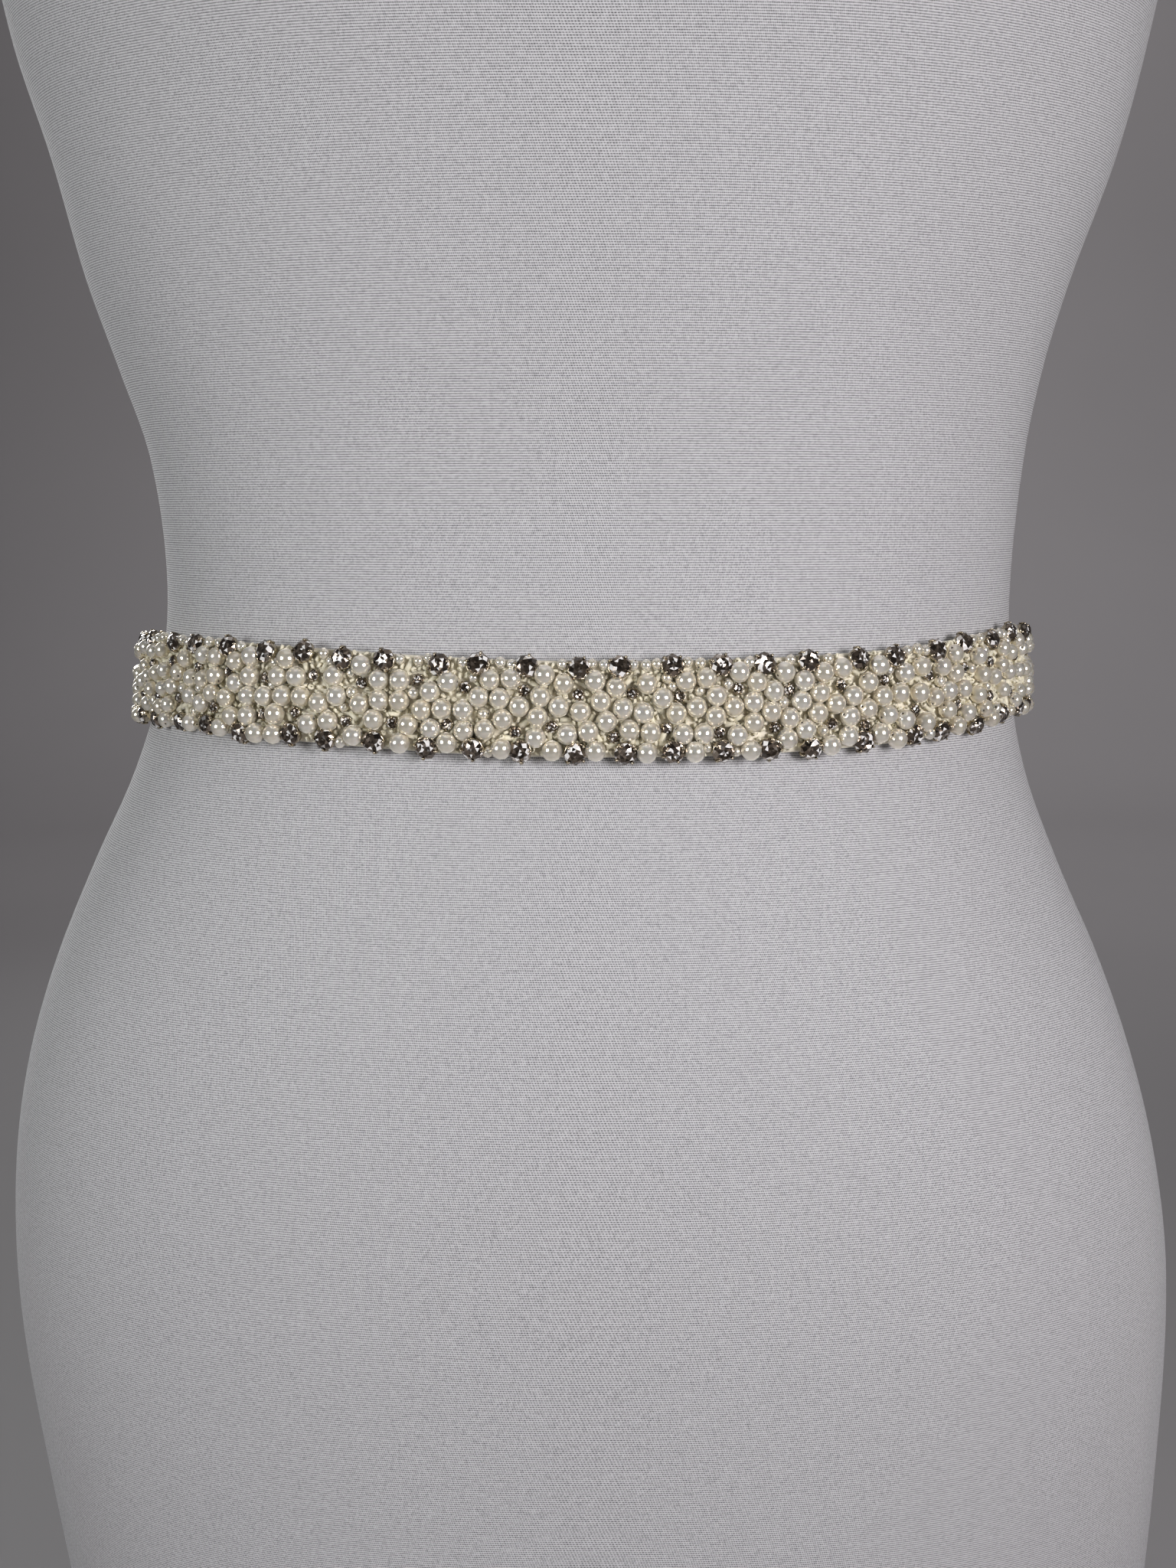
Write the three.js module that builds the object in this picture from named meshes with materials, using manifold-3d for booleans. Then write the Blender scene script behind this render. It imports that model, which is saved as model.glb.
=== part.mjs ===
// Beaded bridal sash on a limbless dress form. A satin strip, closely sewn with pearls and set
// stones, runs round the front of the waist, and two satin ribbons close it at the back, one lapped
// over the other. The form stands on its own flat foot.
// Millimetres, +Z up, front of the form towards -Y, floor at Z 0.
import * as THREE from "three";
import { mergeVertices } from "three/addons/utils/BufferGeometryUtils.js";
import Module from "manifold-3d";

// Driving dimensions of the sash
const SASH_LEVEL = 350; // middle of the sash at centre front, above the floor
const SASH_LIFTS = [
  { turn: -180, lift: 0 }, // how far it rises on its way round, by degrees from centre front
  { turn: -110, lift: -0.6 },
  { turn: -65, lift: 4.3 },
  { turn: -35, lift: 3.2 },
  { turn: 0, lift: 0 },
  { turn: 35, lift: 2 },
  { turn: 70, lift: 6.8 },
  { turn: 110, lift: 1.7 },
  { turn: 180, lift: 0 },
];
const SASH_LEAN = 0.45; // share of the form's slope that the stiff, beaded cloth follows
const STRIP = { width: 28, thickness: 1.5, length: 424 };
const RIBBON = { width: 25, thickness: 1 };
const LAP = { length: 40, ramp: 36 }; // left ribbon over the right one at centre back
const SEAM_GAP = 0.3;
const FORM_CLEARANCE = 0.5;
const STATION_STEP = 10; // spacing of the cloth's cross sections along its length

// Beads. Pearls and stones are full size across the front and grade down towards the sides.
const BEAD_TAPER = { from: 100, to: 155 }; // distance from centre front along the strip
const PEARL_RADIUS = { front: 3.1, side: 2.45 };
const STONE_RADIUS = { front: 3, side: 2.45 };
const SMALL_STONE_RADIUS = { front: 2, side: 1.8 };
const BEAD_ROOT = 1.2; // depth of a bead's pointed root inside the strip
const LAYOUT_SEED = 7;
const STONE_ROWS = [
  { kind: "stone", across: 12.3, first: 5, pitch: 13.6, wander: 1.9, stray: 0.6 },
  { kind: "stone", across: -12.3, first: 9, pitch: 14.2, wander: 1.6, stray: 0.6 },
  { kind: "small_stone", across: 5.6, first: 11, pitch: 15.2, wander: 2.6, stray: 1.3 },
  { kind: "small_stone", across: -6.2, first: 4, pitch: 15.4, wander: 2.6, stray: 1.3 },
];
const PEARL_BAND = { low: -12.4, high: 10.4 }; // the upper edge is left to stones and smaller beads
const STONE_BAND = { low: -12.8, high: 12.8 };
const PEARL_SPACING = { front: 0.77, side: 1.02 }; // share of the distance at which two beads touch
const PEARL_FILL = { tries: 9000, steps: 90, tightness: 0.97, stiffness: 0.5 };
const STONE_GIVE = 0.15; // share of a push that a stone yields, where a pearl yields the rest
const NEIGHBOUR_REACH = 11;

// Sections of the form, from the foot to the neck: reach to each side, to the front and to the back
const FORM_SECTIONS = [
  { level: 0, left: 174, right: 191, front: 100, back: 106 },
  { level: 40, left: 181, right: 195.6, front: 103, back: 112 },
  { level: 85, left: 188.2, right: 198.2, front: 107, back: 120 },
  { level: 129, left: 194.3, right: 199.4, front: 111, back: 128 },
  { level: 162, left: 196, right: 197.9, front: 113, back: 131 },
  { level: 196, left: 194.4, right: 192.3, front: 113, back: 128 },
  { level: 228, left: 188.9, right: 183.6, front: 111, back: 120 },
  { level: 260, left: 178.9, right: 171.8, front: 107, back: 110 },
  { level: 292, left: 165.3, right: 157.3, front: 102, back: 100 },
  { level: 322, left: 151.2, right: 145.8, front: 97.5, back: 92 },
  { level: 350, left: 142.4, right: 140.4, front: 94, back: 87 },
  { level: 383, left: 138.8, right: 139.3, front: 92, back: 84 },
  { level: 423, left: 142.9, right: 142.4, front: 94.5, back: 85 },
  { level: 452, left: 152.2, right: 147.5, front: 100, back: 89 },
  { level: 480, left: 161.6, right: 155.3, front: 106.5, back: 94 },
  { level: 517, left: 171.1, right: 168.2, front: 114, back: 100 },
  { level: 553, left: 182, right: 177, front: 118.5, back: 105 },
  { level: 590, left: 188, right: 183, front: 117, back: 110 },
  { level: 635, left: 186, right: 182, front: 103, back: 112 },
  { level: 680, left: 179, right: 177, front: 82, back: 107 },
  { level: 715, left: 161, right: 160, front: 67, back: 95 },
  { level: 742, left: 127, right: 126, front: 56, back: 81 },
  { level: 764, left: 88, right: 88, front: 50, back: 69 },
  { level: 784, left: 66, right: 66, front: 49, back: 61 },
  { level: 826, left: 59, right: 59, front: 53, back: 54 },
];
const SECTION_POWER = 2.25; // 2 would be an ellipse, higher is squarer
const BUST = { level: 586, side: 80, swell: 13, half_width: 58, half_height: 46 };
const FORM_EDGE = 6; // rounding at the foot and at the neck's top
const FORM_RING = { points: 40, step: 30, sash_step: 10, sash_reach: 35 };

const TURN = 2 * Math.PI;
const FRONT = -Math.PI / 2; // direction of centre front round the form
const PATH_SAMPLES = 720;

// Value of one column of a table at any place along its key, on a smooth curve through the rows.
function valueAt(rows, key, column, place) {
  const last = rows.length - 1;
  let i = 0;
  while (i < last - 1 && place > rows[i + 1][key]) i += 1;
  const slope = (k) => {
    const a = rows[Math.max(k - 1, 0)];
    const b = rows[Math.min(k + 1, last)];
    return (b[column] - a[column]) / (b[key] - a[key]);
  };
  const span = rows[i + 1][key] - rows[i][key];
  const t = Math.min(Math.max((place - rows[i][key]) / span, 0), 1);
  const rest = 1 - t;
  return (
    rows[i][column] * (1 + 2 * t) * rest * rest +
    slope(i) * span * t * rest * rest +
    rows[i + 1][column] * t * t * (3 - 2 * t) -
    slope(i + 1) * span * t * t * rest
  );
}

// Point of the form's surface in a direction round it, drawn in by inset.
function formPoint(angle, level, inset = 0) {
  const c = Math.cos(angle);
  const s = Math.sin(angle);
  const x = Math.sign(c) * Math.abs(c) ** (2 / SECTION_POWER);
  const y = Math.sign(s) * Math.abs(s) ** (2 / SECTION_POWER);
  const reach = (side) => valueAt(FORM_SECTIONS, "level", side, level) - inset;
  const across = x * reach(c < 0 ? "left" : "right");
  const forward = y * reach(s < 0 ? "front" : "back");
  const rise = ((level - BUST.level) / BUST.half_height) ** 2;
  const swell = [-1, 1].reduce((sum, side) => {
    const off = ((across - side * BUST.side) / BUST.half_width) ** 2;
    return sum + BUST.swell * Math.exp(-off - rise);
  }, 0);
  return new THREE.Vector3(across, forward + Math.min(s, 0) * swell, level);
}

// Closed solid through rings of points that run counter-clockwise seen from above, lowest ring first.
function loft(rings) {
  const n = rings[0].length;
  const middle = (ring) => ring.reduce((sum, p) => sum.add(p), new THREE.Vector3()).divideScalar(n);
  const points = [...rings.flat(), middle(rings[0]), middle(rings[rings.length - 1])];
  const foot = points.length - 2;
  const top = points.length - 1;
  const roof = (rings.length - 1) * n;
  const index = [];
  for (let i = 0; i < n; i += 1) {
    const j = (i + 1) % n;
    index.push(foot, j, i, top, roof + i, roof + j);
    for (let row = 0; row < rings.length - 1; row += 1) {
      const low = row * n;
      const high = low + n;
      index.push(low + i, low + j, high + j, low + i, high + j, high + i);
    }
  }
  return new THREE.BufferGeometry().setFromPoints(points).setIndex(index);
}

function dressForm() {
  const levels = [];
  FORM_SECTIONS.slice(1).forEach((row, i) => {
    const from = FORM_SECTIONS[i].level;
    const bySash = Math.abs((row.level + from) / 2 - SASH_LEVEL) < FORM_RING.sash_reach;
    const parts = Math.ceil((row.level - from) / (bySash ? FORM_RING.sash_step : FORM_RING.step));
    for (let k = 0; k < parts; k += 1) levels.push(from + ((row.level - from) * k) / parts);
  });
  const roof = FORM_SECTIONS[FORM_SECTIONS.length - 1].level;
  const rings = [
    { level: 0, inset: FORM_EDGE },
    { level: FORM_EDGE, inset: 0 },
    ...levels.slice(1).map((level) => ({ level, inset: 0 })),
    { level: roof - FORM_EDGE, inset: 0 },
    { level: roof, inset: FORM_EDGE },
  ];
  const ringPoints = ({ level, inset }) =>
    Array.from({ length: FORM_RING.points }, (_, i) =>
      formPoint((i * TURN) / FORM_RING.points, level, inset),
    );
  return loft(rings.map(ringPoints));
}

// Height of the sash's middle in a direction round the form.
function sashLevel(angle) {
  return SASH_LEVEL + valueAt(SASH_LIFTS, "turn", "lift", ((angle - FRONT) * 360) / TURN);
}

// Inner line of the sash, along its middle. The cloth's lower edge lies on the form and its upper
// edge stands off a little. Distance along the line is counted from centre front, to the right.
function sashPath() {
  const half = STRIP.width / 2;
  const samples = Array.from({ length: PATH_SAMPLES }, (_, i) => {
    const angle = FRONT + ((i - PATH_SAMPLES / 2) * TURN) / PATH_SAMPLES;
    const level = sashLevel(angle);
    const low = formPoint(angle, level - half);
    const high = formPoint(angle, level + half);
    const upright = new THREE.Vector3(low.x, low.y, high.z);
    const rise = upright.lerp(high, SASH_LEAN).sub(low).normalize();
    return { middle: low.addScaledVector(rise, half), rise };
  });
  const around = (i) => samples[(i + PATH_SAMPLES) % PATH_SAMPLES].middle;
  const line = samples.map(({ middle, rise }, i) => {
    const out = around(i + 1).clone().sub(around(i - 1)).cross(rise).normalize();
    return { place: middle.clone().addScaledVector(out, FORM_CLEARANCE), rise, out };
  });
  line.push({ ...line[0] });
  line.forEach((p, i) => {
    p.at = i ? line[i - 1].at + p.place.distanceTo(line[i - 1].place) : 0;
  });
  const length = line[PATH_SAMPLES].at;
  const start = line[PATH_SAMPLES / 2].at;
  line.forEach((p) => (p.at -= start));
  return { line, length, back: line[PATH_SAMPLES].at };
}

const PATH = sashPath();

// Point of the cloth: along the path, up from its middle, and out from its inner line.
function clothPoint(along, up, out) {
  const first = PATH.line[0].at;
  const at = ((((along - first) % PATH.length) + PATH.length) % PATH.length) + first;
  let low = 0;
  let high = PATH.line.length - 1;
  while (high - low > 1) {
    const mid = (low + high) >> 1;
    if (PATH.line[mid].at <= at) low = mid;
    else high = mid;
  }
  const a = PATH.line[low];
  const b = PATH.line[high];
  const t = (at - a.at) / (b.at - a.at);
  return a.place
    .clone()
    .lerp(b.place, t)
    .addScaledVector(a.rise.clone().lerp(b.rise, t), up)
    .addScaledVector(a.out.clone().lerp(b.out, t), out);
}

// Strip of cloth from one distance along the path to another, standing off the inner line.
function clothStrip({ from, to, width, thickness, standOff = () => 0 }) {
  const count = Math.ceil((to - from) / STATION_STEP);
  const rings = Array.from({ length: count + 1 }, (_, i) => {
    const along = from + ((to - from) * i) / count;
    const inner = standOff(along);
    const outer = inner + thickness;
    return [
      clothPoint(along, -width / 2, inner),
      clothPoint(along, -width / 2, outer),
      clothPoint(along, width / 2, outer),
      clothPoint(along, width / 2, inner),
    ].reverse();
  });
  return loft(rings);
}

// Repeatable random numbers from 0 to 1.
function randomFrom(seed) {
  let state = seed;
  return () => {
    state = (Math.imul(state, 1664525) + 1013904223) >>> 0;
    return state / 4294967296;
  };
}

// Size of a bead at a distance along the strip.
function graded({ front, side }, along) {
  const share = (Math.abs(along) - BEAD_TAPER.from) / (BEAD_TAPER.to - BEAD_TAPER.from);
  return front + (side - front) * Math.min(Math.max(share, 0), 1);
}

// Where the pearls and stones are sewn: loose rows of stones, then pearls pushed in between them.
function beadLayout() {
  const random = randomFrom(LAYOUT_SEED);
  const spread = (reach) => (random() * 2 - 1) * reach;
  const beads = [];
  const half = STRIP.length / 2;
  const room = half - PEARL_RADIUS.side;
  for (const row of STONE_ROWS) {
    const sizes = row.kind === "stone" ? STONE_RADIUS : SMALL_STONE_RADIUS;
    for (let s = row.first - half; s < room; s += row.pitch) {
      const along = s + spread(row.wander);
      const up = row.across + spread(row.stray);
      beads.push({ kind: row.kind, along, up, radius: graded(sizes, along) });
    }
  }
  for (let i = 0; i < PEARL_FILL.tries; i += 1) {
    const along = spread(room);
    const up = PEARL_BAND.low + random() * (PEARL_BAND.high - PEARL_BAND.low);
    const radius = graded(PEARL_RADIUS, along);
    const spacing = graded(PEARL_SPACING, along);
    const free = beads.every((b) => {
      const apart = (b.radius + radius) * spacing;
      const ds = b.along - along;
      const dv = b.up - up;
      return ds * ds + dv * dv > apart * apart;
    });
    if (free) beads.push({ kind: "pearl", along, up, radius });
  }
  settle(beads, room);
  return beads;
}

// Pushes beads that overlap apart, a little at a time. Stones hold their place more than pearls do.
function settle(beads, room) {
  const pairs = [];
  for (let i = 0; i < beads.length; i += 1) {
    for (let j = i + 1; j < beads.length; j += 1) {
      const ds = beads[i].along - beads[j].along;
      const dv = beads[i].up - beads[j].up;
      if (ds * ds + dv * dv < NEIGHBOUR_REACH * NEIGHBOUR_REACH) pairs.push([beads[i], beads[j]]);
    }
  }
  const give = (bead) => (bead.kind === "pearl" ? 1 : STONE_GIVE);
  const hold = (value, low, high) => Math.min(Math.max(value, low), high);
  for (let step = 0; step < PEARL_FILL.steps; step += 1) {
    for (const [a, b] of pairs) {
      const ds = b.along - a.along;
      const dv = b.up - a.up;
      const apart = Math.sqrt(ds * ds + dv * dv);
      const overlap = (a.radius + b.radius) * PEARL_FILL.tightness - apart;
      if (overlap <= 0 || apart === 0) continue;
      const push = (overlap * PEARL_FILL.stiffness) / (apart * (give(a) + give(b)));
      a.along -= ds * push * give(a);
      a.up -= dv * push * give(a);
      b.along += ds * push * give(b);
      b.up += dv * push * give(b);
    }
    for (const bead of beads) {
      bead.along = hold(bead.along, -room, room);
      const band = bead.kind === "pearl" ? PEARL_BAND : STONE_BAND;
      bead.up = hold(bead.up, band.low, band.high);
    }
  }
}

// Profiles of the raised beads, as shares of the radius: out from the bead's axis and up from the cloth
const BEAD_FORMS = {
  pearl: { sides: 6, rings: [{ out: 0.95, up: 1 }, { out: 0.62, up: 1.66 }], top: 1.92 },
  small_pearl: { sides: 5, rings: [{ out: 0.88, up: 1.4 }], top: 1.9 },
  stone: { sides: 6, rings: [{ out: 0.88, up: 1.25 }], top: 1.4 },
};
const SMALL_PEARL_BELOW = 2.7; // radius under which a pearl has the simpler profile

// One bead as a closed solid on the strip's outer face.
function beadSolid({ kind, along, up, radius }) {
  const form = BEAD_FORMS[kind === "pearl" && radius < SMALL_PEARL_BELOW ? "small_pearl" : kind];
  const level = (height) => STRIP.thickness + height;
  const ringAt = ({ out, up: height }) =>
    Array.from({ length: form.sides }, (_, i) => {
      const turn = (i * TURN) / form.sides;
      const side = along + out * radius * Math.cos(turn);
      return clothPoint(side, up + out * radius * Math.sin(turn), level(height * radius));
    });
  const solid = loft(form.rings.map(ringAt));
  const points = solid.getAttribute("position");
  const root = clothPoint(along, up, level(-BEAD_ROOT));
  const tip = clothPoint(along, up, level(form.top * radius));
  points.setXYZ(points.count - 2, root.x, root.y, root.z);
  points.setXYZ(points.count - 1, tip.x, tip.y, tip.z);
  return solid;
}

const wasm = await Module();
wasm.setup();

function toManifold(geometry) {
  const bare = new THREE.BufferGeometry();
  bare.setAttribute("position", geometry.getAttribute("position"));
  bare.setIndex(geometry.getIndex());
  const merged = mergeVertices(bare);
  const vertProperties = merged.getAttribute("position").array;
  const triVerts = new Uint32Array(merged.getIndex().array);
  return new wasm.Manifold(new wasm.Mesh({ numProp: 3, vertProperties, triVerts }));
}

function toGeometry(solid) {
  const { vertProperties, triVerts } = solid.getMesh();
  const geometry = new THREE.BufferGeometry();
  geometry.setAttribute("position", new THREE.BufferAttribute(vertProperties, 3));
  return geometry.setIndex(new THREE.BufferAttribute(triVerts, 1));
}

// Sum of many solids, joined in halves.
function joined(solids) {
  if (solids.length === 1) return solids[0];
  const half = solids.length >> 1;
  return joined(solids.slice(0, half)).add(joined(solids.slice(half)));
}

// Satin strip with the pearls and the larger stones raised from its outer face.
function beadedFront() {
  const half = STRIP.length / 2;
  const strip = toManifold(clothStrip({ from: -half, to: half, ...STRIP }));
  const large = beadLayout().filter((bead) => bead.kind in BEAD_FORMS);
  return toGeometry(strip.add(joined(large.map((bead) => toManifold(beadSolid(bead))))));
}

// The right ribbon lies on the form, and ends under the left one.
function ribbonRight() {
  const from = STRIP.length / 2 + SEAM_GAP;
  return clothStrip({ from, to: PATH.back + LAP.length / 2, ...RIBBON });
}

// The left ribbon steps out over the right one's end before they meet.
function ribbonLeft() {
  const to = PATH.length - STRIP.length / 2 - SEAM_GAP;
  const lapEnd = PATH.back + LAP.length / 2;
  const standOff = (along) => {
    const t = Math.min(Math.max((lapEnd + LAP.ramp - along) / (LAP.ramp - SEAM_GAP), 0), 1);
    return (RIBBON.thickness + SEAM_GAP) * t * t * (3 - 2 * t);
  };
  return clothStrip({ from: PATH.back - LAP.length / 2, to, standOff, ...RIBBON });
}

// Finishes
const jersey = new THREE.MeshStandardMaterial({ color: 0xd6d6d8, roughness: 0.9 });
const satin = new THREE.MeshStandardMaterial({ color: 0xece6d6, roughness: 0.45 });
const pearls = new THREE.MeshStandardMaterial({ color: 0xe9e5d6, roughness: 0.25 });

const PIECES = [
  { name: "dress_form", make: dressForm, material: jersey },
  { name: "beaded_front", make: beadedFront, material: pearls },
  { name: "ribbon_left", make: ribbonLeft, material: satin },
  { name: "ribbon_right", make: ribbonRight, material: satin },
];

const sash = new THREE.Group();
for (const { name, make, material } of PIECES) {
  const piece = new THREE.Mesh(make(), material);
  piece.name = name;
  sash.add(piece);
}

export default sash;
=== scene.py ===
"""Beaded bridal sash on a dress form: the finished surfaces, laid over the solids of the frame.

Sizes are millimetres, with +Z up and the front of the form towards -Y. MM turns them into metres
where a mesh is made. The sections of the form, the line of the sash and the places of the pearls
and stones are worked out as for the solids, so each pearl and large stone sits on its own raised
place.
"""
import bisect
import math
from collections import namedtuple

import bmesh
import bpy
from mathutils import Matrix, Vector


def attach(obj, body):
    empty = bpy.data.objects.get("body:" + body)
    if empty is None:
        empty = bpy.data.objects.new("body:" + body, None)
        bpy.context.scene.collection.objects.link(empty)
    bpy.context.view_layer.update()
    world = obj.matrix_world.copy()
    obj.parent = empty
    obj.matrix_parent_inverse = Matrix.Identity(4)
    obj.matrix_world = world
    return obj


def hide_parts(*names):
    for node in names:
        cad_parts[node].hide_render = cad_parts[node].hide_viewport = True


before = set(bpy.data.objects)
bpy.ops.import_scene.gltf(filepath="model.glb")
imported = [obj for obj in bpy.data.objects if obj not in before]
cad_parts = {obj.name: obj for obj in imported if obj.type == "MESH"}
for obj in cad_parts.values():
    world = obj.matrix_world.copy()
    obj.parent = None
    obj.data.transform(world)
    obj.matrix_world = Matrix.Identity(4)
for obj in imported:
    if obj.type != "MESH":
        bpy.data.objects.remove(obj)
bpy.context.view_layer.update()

bl_info = {
    "name": "Bridal sash on a dress form",
    "version": (1, 0, 0),
    "blender": (4, 5, 0),
    "location": "3D View > Sidebar > Sash",
    "description": "Builds a pearl and stone bridal sash, closed by ribbons, on a jersey dress form",
    "category": "Object",
}

MM = 0.001
TURN = 2 * math.pi
FRONT = -math.pi / 2  # direction of centre front round the form
BODY = "root"
CLOTH_MAP = "Cloth"

# The sash
SASH_LEVEL = 350  # middle of the sash at centre front, above the floor
Lift = namedtuple("Lift", "turn lift")  # how far it rises, by degrees from centre front
SASH_LIFTS = (
    Lift(-180, 0),
    Lift(-110, -0.6),
    Lift(-65, 4.3),
    Lift(-35, 3.2),
    Lift(0, 0),
    Lift(35, 2),
    Lift(70, 6.8),
    Lift(110, 1.7),
    Lift(180, 0),
)
SASH_LEAN = 0.45  # share of the form's slope that the stiff, beaded cloth follows
STRIP_WIDTH, STRIP_THICKNESS, STRIP_LENGTH = 28, 1.5, 424
RIBBON_WIDTH, RIBBON_THICKNESS = 25, 1
RIBBON_SHARE = 0.8  # share of the ribbon's thickness that the finished cloth has
LAP_LENGTH, LAP_RAMP = 40, 36
SEAM_GAP = 0.3
FORM_CLEARANCE = 0.5
PATH_SAMPLES = 720

# Beads, full size across the front and smaller towards the sides
TAPER_FROM, TAPER_TO = 100, 155  # distance from centre front along the strip
Graded = namedtuple("Graded", "front side")
PEARL_RADIUS = Graded(3.1, 2.45)
STONE_RADIUS = Graded(3, 2.45)
SMALL_STONE_RADIUS = Graded(2, 1.8)
LAYOUT_SEED = 7
StoneRow = namedtuple("StoneRow", "kind across first pitch wander stray")
STONE_ROWS = (
    StoneRow("stone", 12.3, 5, 13.6, 1.9, 0.6),
    StoneRow("stone", -12.3, 9, 14.2, 1.6, 0.6),
    StoneRow("small_stone", 5.6, 11, 15.2, 2.6, 1.3),
    StoneRow("small_stone", -6.2, 4, 15.4, 2.6, 1.3),
)
PEARL_BAND = (-12.4, 10.4)
STONE_BAND = (-12.8, 12.8)
PEARL_TRIES = 9000
PEARL_SPACING = Graded(0.77, 1.02)  # share of the distance at which two beads touch
SETTLE_STEPS, TIGHTNESS, STIFFNESS = 90, 0.97, 0.5
STONE_GIVE = 0.15  # how far a stone yields to a push, where a pearl yields 1
NEIGHBOUR_REACH = 11

# The form, from the foot to the neck: reach to each side, to the front and to the back
Section = namedtuple("Section", "level left right front back")
FORM_SECTIONS = (
    Section(0, 174, 191, 100, 106),
    Section(40, 181, 195.6, 103, 112),
    Section(85, 188.2, 198.2, 107, 120),
    Section(129, 194.3, 199.4, 111, 128),
    Section(162, 196, 197.9, 113, 131),
    Section(196, 194.4, 192.3, 113, 128),
    Section(228, 188.9, 183.6, 111, 120),
    Section(260, 178.9, 171.8, 107, 110),
    Section(292, 165.3, 157.3, 102, 100),
    Section(322, 151.2, 145.8, 97.5, 92),
    Section(350, 142.4, 140.4, 94, 87),
    Section(383, 138.8, 139.3, 92, 84),
    Section(423, 142.9, 142.4, 94.5, 85),
    Section(452, 152.2, 147.5, 100, 89),
    Section(480, 161.6, 155.3, 106.5, 94),
    Section(517, 171.1, 168.2, 114, 100),
    Section(553, 182, 177, 118.5, 105),
    Section(590, 188, 183, 117, 110),
    Section(635, 186, 182, 103, 112),
    Section(680, 179, 177, 82, 107),
    Section(715, 161, 160, 67, 95),
    Section(742, 127, 126, 56, 81),
    Section(764, 88, 88, 50, 69),
    Section(784, 66, 66, 49, 61),
    Section(826, 59, 59, 53, 54),
)
SECTION_POWER = 2.25  # 2 would be an ellipse, higher is squarer
BUST_LEVEL, BUST_SIDE, BUST_SWELL = 586, 80, 13
BUST_HALF_WIDTH, BUST_HALF_HEIGHT = 58, 46
FORM_EDGE = 6  # rounding at the foot and at the neck's top
FORM_POINTS, FORM_STEP, FORM_EDGE_STEPS = 180, 6, 5

# Beads in the gaps: reach along from centre front, band across, sizes as shares of the largest
# radius, and contact as a share of the squared distance at which two beads touch
Filling = namedtuple("Filling", "kind reach band sizes tries contact seed")
FILLINGS = (
    Filling("tube", 200, (-11, 11), (0.92, 1), 700, 0.95, 12),
    Filling("small_pearl", 150, (12.4, 13.4), (0.8, 0.95), 400, 0.76, 21),
    Filling("small_pearl", 150, (-13.2, 12.5), (0.93, 1), 1500, 0.76, 22),
    Filling("small_pearl", 150, (-13.2, 13.6), (0.76, 0.9), 1500, 0.76, 23),
    Filling("seed", 150, (-13.2, 13.6), (0.8, 1), 43000, 0.66, 13),
    Filling("seed", 211, (-13.2, 13.6), (0.8, 1), 2500, 0.8, 14),
)

# How the beads lie: seat is a share of the radius, and a lean of 1 is a quarter turn
Sewing = namedtuple("Sewing", "piece kind seat least_lean most_lean")
SEWINGS = (
    Sewing("pearls", "pearl", 0.92, 0.68, 1.1),
    Sewing("small_pearls", "small_pearl", 0.95, 0.6, 1.1),
    Sewing("seed_beads", "seed", 0.75, 0.55, 1.1),
    Sewing("glass_tubes", "tube", 1, 0.9, 1.05),
)
FILLING_LIFT = Graded(0.35, 0.1)
SMALL_STONE_LIFT = Graded(0.3, 0.9)
PEARL_LIFT = 0.5
STONE_SIZE, SMALL_STONE_SIZE, SMALL_SETTING_SIZE = 1.1, 0.84, 0.87  # shares of the radius
STONE_LEAN, STONE_SPLAY = math.radians(14), 0.6
LIFT_SEED, FACET_SEED, STONE_SEED = 7, 5, 31

# Cloth and stitches
CLOTH_STEP, CLOTH_ROWS = 3, 10
STRIP_THREAD, RIBBON_THREAD = 0.4, 0.3
RIPPLE = 0.1  # half the height of the ribbons' ripples
Wave = namedtuple("Wave", "along up")  # distances over which a phase turns by one radian
RIPPLE_WAVES = (Wave(9.7, 7.1), Wave(23, -5.3))
STITCH_MARGIN, SEAM_STITCH_LIFT, LAP_STITCH_INSET = 2, 0.2, 4
STITCH_WANDER, STITCH_SEED = 0.12, 51

# Stage
CAMERA_LENS = 45.7
FLOOR_REACH, FLOOR_BEND, BEND_RADIUS, BEND_STEPS, BACKDROP_TOP = 6000, 1900, 900, 16, 4200
SASH_FRONT = (0, -0.1, 0.35)  # where the lights in front are aimed
ROOM_FRONT, ROOM_SIDE = (0.05, 0.05, 0.052), (0.12, 0.12, 0.123)
WHITE, ROSE = (1, 1, 1), (1, 0.96, 0.98)
Light = namedtuple("Light", "name share size spread tint place aim")
LIGHTS = (
    Light("softbox_right", 1.12, 0.38, 120, ROSE, (0.62, -0.87, 0.52), SASH_FRONT),
    Light("softbox_left", 0.66, 0.38, 120, WHITE, (-0.79, -0.72, 0.52), SASH_FRONT),
    Light("top_light", 0.35, 1.2, 120, WHITE, (0, -0.2, 1.9), SASH_FRONT),
    Light("backdrop_light", 3.7, 1.5, 120, ROSE, (0.4, 0.9, 2.2), (0.3, 2.6, 0.6)),
    Light("back_light", 0.7, 0.8, 60, WHITE, (-0.8, 1.6, 0.8), (0, 0, 0.45)),
)


# Shape of the form


def value_at(rows, column, place):
    """Value of one column of a table at any place along its first one, on a smooth curve."""
    last = len(rows) - 1
    i = 0
    while i < last - 1 and place > rows[i + 1][0]:
        i += 1

    def slope(k):
        a, b = rows[max(k - 1, 0)], rows[min(k + 1, last)]
        return (getattr(b, column) - getattr(a, column)) / (b[0] - a[0])

    span = rows[i + 1][0] - rows[i][0]
    t = min(max((place - rows[i][0]) / span, 0), 1)
    rest = 1 - t
    return (
        getattr(rows[i], column) * (1 + 2 * t) * rest * rest
        + slope(i) * span * t * rest * rest
        + getattr(rows[i + 1], column) * t * t * (3 - 2 * t)
        - slope(i + 1) * span * t * t * rest
    )


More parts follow.
